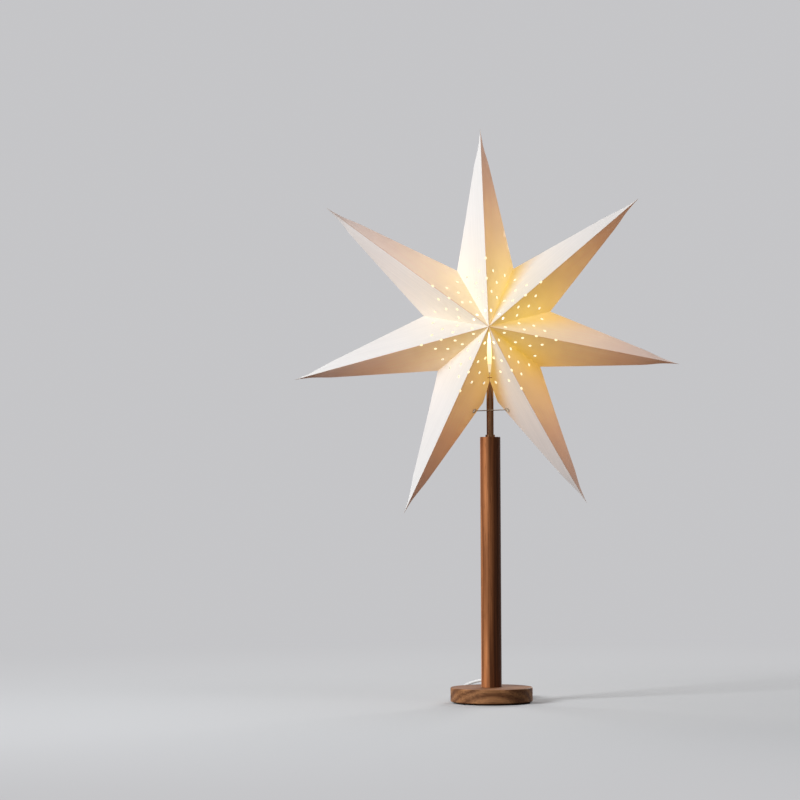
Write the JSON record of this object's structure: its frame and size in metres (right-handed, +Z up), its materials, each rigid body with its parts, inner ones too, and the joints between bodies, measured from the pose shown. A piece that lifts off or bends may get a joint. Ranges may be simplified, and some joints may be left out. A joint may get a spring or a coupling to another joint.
{
  "type": "folded paper star table lamp",
  "caption": "Table lamp whose shade is a large folded and pierced paper star, lit from inside, on a brass tube, a round wooden pole and a round wooden base.",
  "frame": {"origin": "middle of the plane that the base stands on, under the pole's axis", "axes": "+Z up along the pole, -Y towards the side that the star faces in the picture, +X to the right in the picture"},
  "size_m": [0.5457, 0.2413, 0.8039],
  "materials": {
    "paper": "matte, translucent",
    "thread": "matte",
    "eyelet_metal": "satin",
    "walnut": "satin",
    "brass": "polished",
    "steel": "zinc plated",
    "pad_felt": "matte",
    "holder_plastic": "matte",
    "lit_glass": "opal",
    "cord_sheath": "soft satin",
    "copper": "bright",
    "plug_plastic": "satin",
    "pin_metal": "nickel plated"
  },
  "bodies": {
    "root": {"star_point_1": "paper", "star_point_2": "paper", "star_point_3": "paper", "star_point_4": "paper", "star_point_5": "paper", "star_point_6": "paper", "star_point_7": "paper", "seam_stitches": "thread", "tie_string": "thread", "tie_eyelets": "eyelet_metal", "base_disc": "walnut", "wooden_pole": "walnut", "brass_tube": "brass", "tube_collar": "brass", "threaded_sleeve": "brass", "centre_contact": "brass", "tube_locknut": "brass", "base_screws": "steel", "terminal_screws": "steel", "grub_screw": "steel", "floor_pad_1": "pad_felt", "floor_pad_2": "pad_felt", "floor_pad_3": "pad_felt", "floor_pad_4": "pad_felt", "holder_cap": "holder_plastic", "holder_core": "holder_plastic", "holder_skirt": "holder_plastic", "bulb": "lit_glass", "inner_cable": "cord_sheath", "strain_relief": "cord_sheath", "cord_lead": "cord_sheath", "cord_coil": "cord_sheath", "cord_tail": "cord_sheath", "cable_wires": "copper", "plug_body": "plug_plastic", "plug_pins": "pin_metal"}
  },
  "joints": []
}
